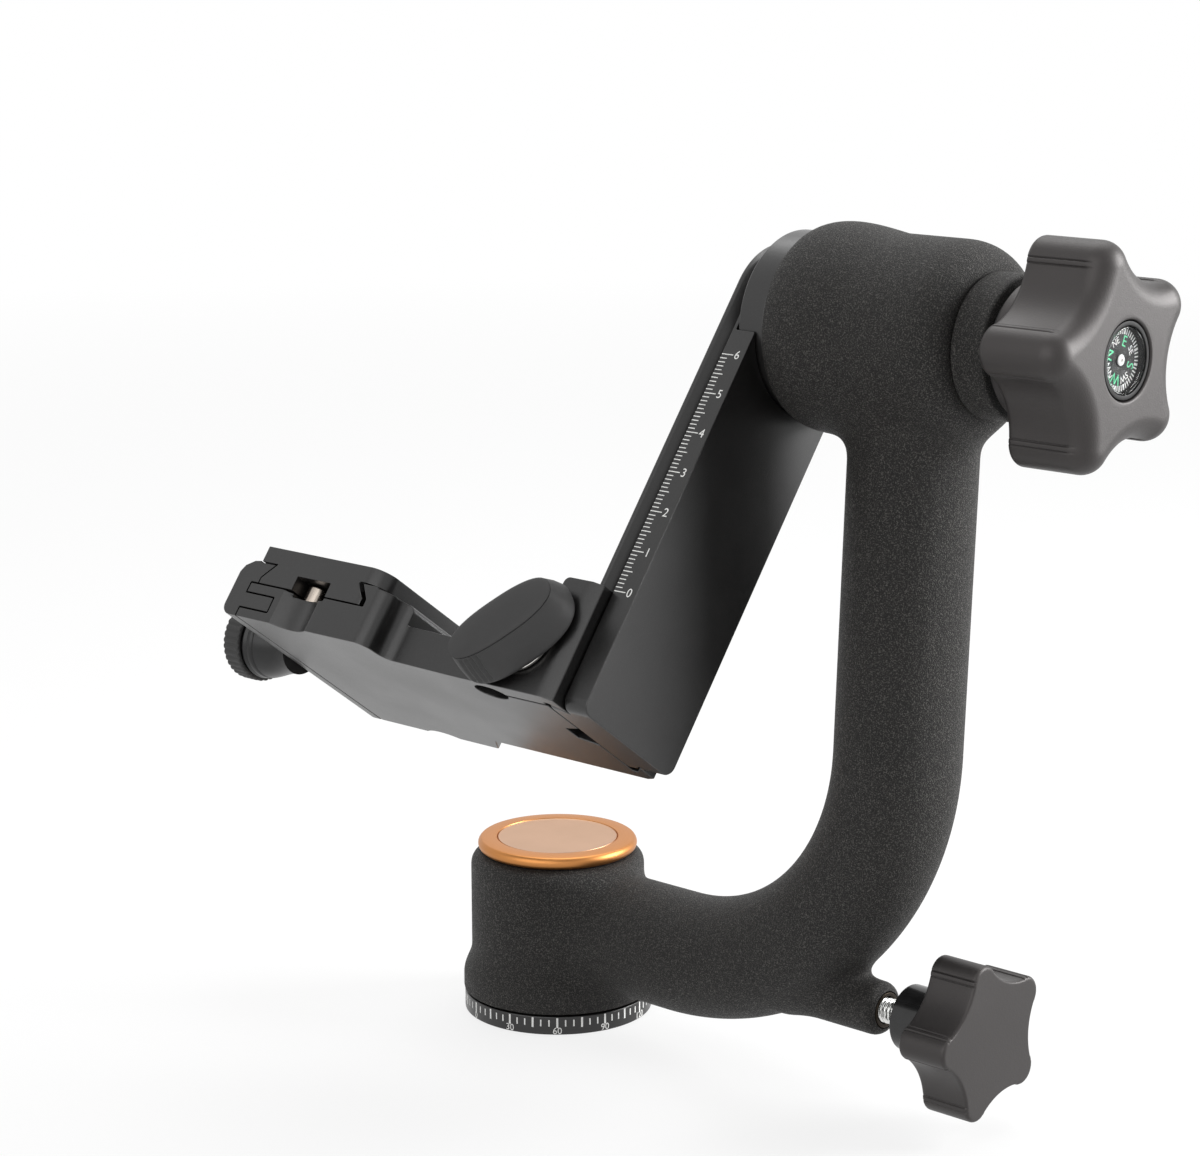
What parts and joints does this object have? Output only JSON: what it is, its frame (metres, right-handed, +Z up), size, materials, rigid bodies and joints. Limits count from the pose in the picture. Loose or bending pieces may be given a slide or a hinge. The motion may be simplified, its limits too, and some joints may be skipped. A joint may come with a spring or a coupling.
{
  "type": "gimbal tripod head",
  "caption": "Gimbal tripod head: panning base, C-shaped arm with a tilt hub, swinging dovetail rail, sliding platform and quick-release clamp.",
  "frame": {"origin": "centre of the tripod thread at the underside of the base, on the pan axis", "axes": "+Z up along the pan axis; +X from the pan axis towards the arm's upright and along the tilt axis; the platform hangs towards -Y"},
  "size_m": [0.2097, 0.1128, 0.2074],
  "materials": {
    "powder_coat": "black wrinkle powder coat on cast aluminium",
    "black_anodised": "bead-blasted and black anodised",
    "gold_anodised": "satin gold anodised",
    "moulded_plastic": "dark grey-black, satin",
    "soft_rubber": "matte dark grey",
    "turned_steel": "turned",
    "zinc_plate": "zinc plated thread",
    "chrome_plate": "polished",
    "machined_brass": "machined",
    "black_steel": "black oxide",
    "compass_black": "black with printed marks",
    "clear_cover": "clear"
  },
  "bodies": {
    "base": {"base_plate": "black_anodised", "scale_ring": "black_anodised", "thread_insert": "turned_steel", "pan_spindle": "turned_steel", "base_screw_1": "turned_steel", "base_screw_2": "turned_steel", "base_screw_3": "turned_steel", "lower_pan_bearing": "turned_steel", "upper_pan_bearing": "turned_steel", "pan_spring_washer": "turned_steel", "pan_nut": "turned_steel"},
    "arm": {"arm": "powder_coat", "pan_cap": "gold_anodised", "stud_bushing": "machined_brass", "inner_tilt_bearing": "turned_steel", "outer_tilt_bearing": "turned_steel", "tilt_collar": "powder_coat"},
    "pan_brake": {"pan_push_rod": "turned_steel", "pan_brake_shoe": "machined_brass"},
    "pan_lock_knob": {"pan_knob": "moulded_plastic", "pan_stud": "zinc_plate"},
    "swing": {"tilt_axle": "turned_steel", "tilt_flange": "black_anodised", "axle_bolt": "black_steel", "flange_screw_1": "black_steel", "flange_screw_2": "black_steel", "flange_screw_3": "black_steel", "flange_screw_4": "black_steel", "swing_rail": "black_anodised"},
    "tilt_brake": {"tilt_friction_washer": "soft_rubber"},
    "tilt_lock_knob": {"tilt_knob": "moulded_plastic", "tilt_knob_insert": "machined_brass", "compass_bowl": "compass_black", "compass_pivot": "chrome_plate", "compass_glass": "clear_cover"},
    "card": {"compass_card": "compass_black"},
    "slider": {"platform": "black_anodised", "clamp_spring": "turned_steel", "safety_pin_spring": "turned_steel"},
    "jaw": {"clamp_jaw": "black_anodised"},
    "clamp_lock_knob": {"clamp_knob": "moulded_plastic", "clamp_knob_grip": "soft_rubber", "clamp_screw": "turned_steel"},
    "pin": {"safety_pin": "chrome_plate"},
    "plate": {"quick_release_plate": "black_anodised", "front_pad": "soft_rubber", "back_pad": "soft_rubber"},
    "screw": {"plate_screw": "turned_steel"},
    "slider_brake": {"wing_washer": "chrome_plate"},
    "slider_lock_knob": {"wing_knob": "soft_rubber", "wing_screw": "turned_steel"}
  },
  "joints": [
    {"name": "pan", "type": "hinge", "parent": "base", "child": "arm", "pos_m": [0, 0, 0], "axis": [0, 0, 1], "continuous": true},
    {"name": "pan_brake_travel", "type": "slide", "parent": "arm", "child": "pan_brake", "axis": [1, 0, 0], "range_m": [0, 0.0021]},
    {"name": "pan_knob_turn", "type": "hinge", "parent": "pan_brake", "child": "pan_lock_knob", "pos_m": [0.112, 0, 0.0237], "axis": [1, 0, 0], "range_deg": [0, 720]},
    {"name": "tilt", "type": "hinge", "parent": "arm", "child": "swing", "pos_m": [0.0768, 0, 0.18204], "axis": [1, 0, 0], "continuous": true},
    {"name": "tilt_brake_travel", "type": "slide", "parent": "swing", "child": "tilt_brake", "axis": [1, 0, 0], "range_m": [0, 0.0016]},
    {"name": "tilt_knob_turn", "type": "hinge", "parent": "tilt_brake", "child": "tilt_lock_knob", "pos_m": [0.15, 0, 0.18204], "axis": [1, 0, 0], "range_deg": [0, 360]},
    {"name": "compass_card_turn", "type": "hinge", "parent": "tilt_lock_knob", "child": "card", "pos_m": [0.163, 0, 0.18204], "axis": [1, 0, 0], "continuous": true},
    {"name": "slider_travel", "type": "slide", "parent": "swing", "child": "slider", "axis": [0, 0.5951, 0.8036], "range_m": [0, 0.06]},
    {"name": "jaw_travel", "type": "slide", "parent": "slider", "child": "jaw", "axis": [-1, 0, 0], "range_m": [0, 0.0025]},
    {"name": "clamp_knob_turn", "type": "hinge", "parent": "jaw", "child": "clamp_lock_knob", "pos_m": [-0.0249, -0.0625, 0.10016], "axis": [-1, 0, 0], "range_deg": [0, 1080]},
    {"name": "safety_pin_press", "type": "slide", "parent": "slider", "child": "pin", "axis": [0, -0.5951, -0.8036], "range_m": [0, 0.0032], "stiffness_N_per_m": 250, "springref_m": -0.002},
    {"name": "plate_slide", "type": "slide", "parent": "slider", "child": "plate", "axis": [0, 0.8036, -0.5951], "range_m": [0, 0.045]},
    {"name": "plate_screw_turn", "type": "hinge", "parent": "plate", "child": "screw", "pos_m": [0.0008, -0.05411, 0.11149], "axis": [0, 0.5951, 0.8036], "continuous": true},
    {"name": "slider_brake_travel", "type": "slide", "parent": "slider", "child": "slider_brake", "axis": [0, -0.8036, 0.5951], "range_m": [0, 0.0009]},
    {"name": "wing_knob_turn", "type": "hinge", "parent": "slider_brake", "child": "slider_lock_knob", "pos_m": [0.0607, -0.07526, 0.11956], "axis": [0, -0.8036, 0.5951], "range_deg": [0, 360]}
  ],
  "couplings": [
    {"joint": "pan_brake_travel", "follows": "pan_knob_turn", "m_per_rad": 0.00015915},
    {"joint": "tilt_brake_travel", "follows": "tilt_knob_turn", "m_per_rad": 0.00023873},
    {"joint": "jaw_travel", "follows": "clamp_knob_turn", "m_per_rad": 0.00012732},
    {"joint": "slider_brake_travel", "follows": "wing_knob_turn", "m_per_rad": 0.00012732}
  ]
}
